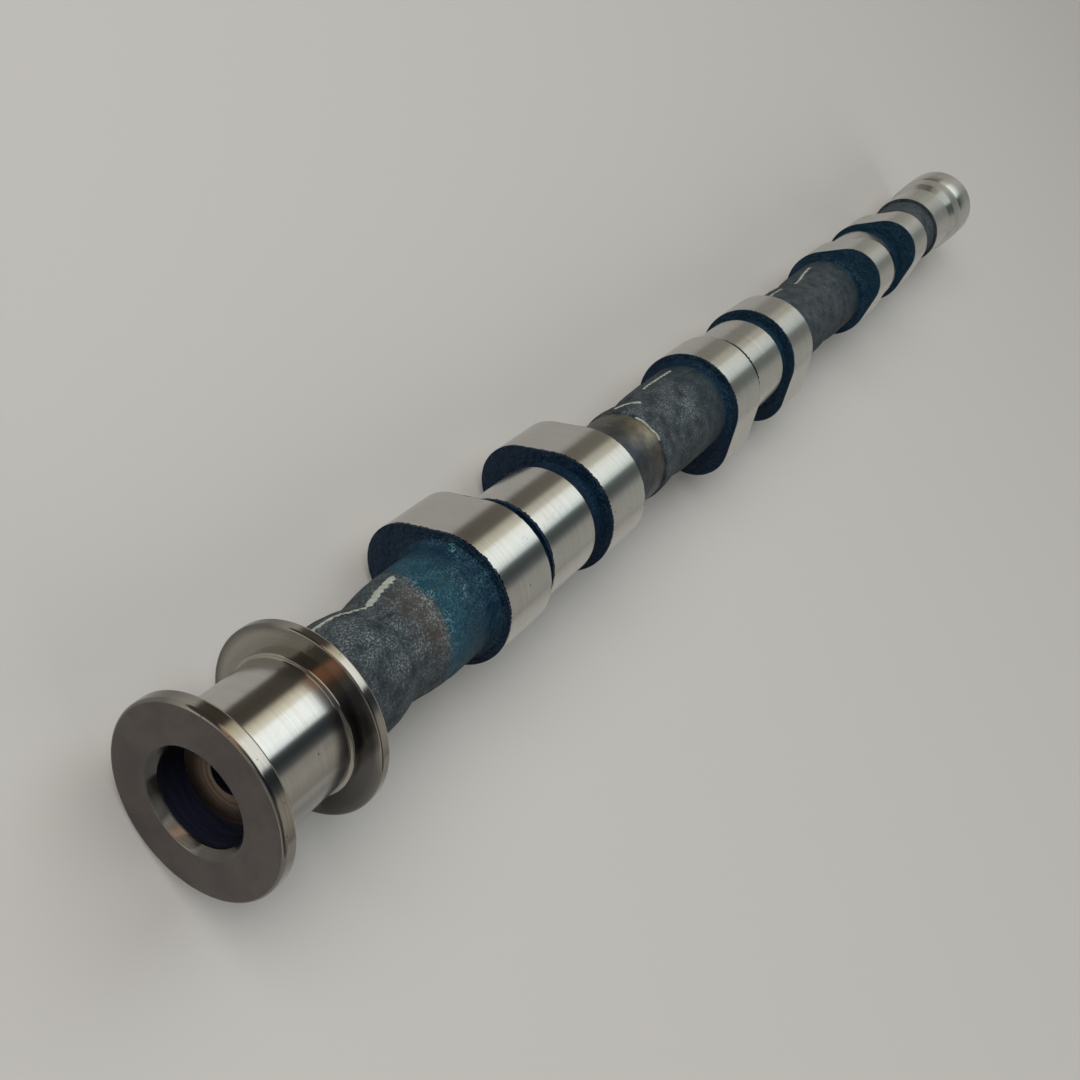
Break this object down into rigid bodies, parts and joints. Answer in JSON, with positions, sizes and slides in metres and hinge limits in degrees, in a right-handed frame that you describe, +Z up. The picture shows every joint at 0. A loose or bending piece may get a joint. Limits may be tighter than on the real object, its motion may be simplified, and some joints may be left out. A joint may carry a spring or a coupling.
{
  "type": "camshaft",
  "caption": "Overhead camshaft casting: flanged thrust nose with a stepped bore, ground journals, paired cams and waisted necks.",
  "frame": {"origin": "on the shaft's axis at the nose face", "axes": "+X along the shaft from the nose to the tail; +Z up, with the shaft rolled as it lies at rest"},
  "size_m": [0.4106, 0.035, 0.0356],
  "materials": {
    "camshaft": "as-cast slate grey necks and cam sides, ground bright cams, journals and flanges"
  },
  "bodies": {
    "root": {"camshaft": "camshaft"}
  },
  "joints": []
}
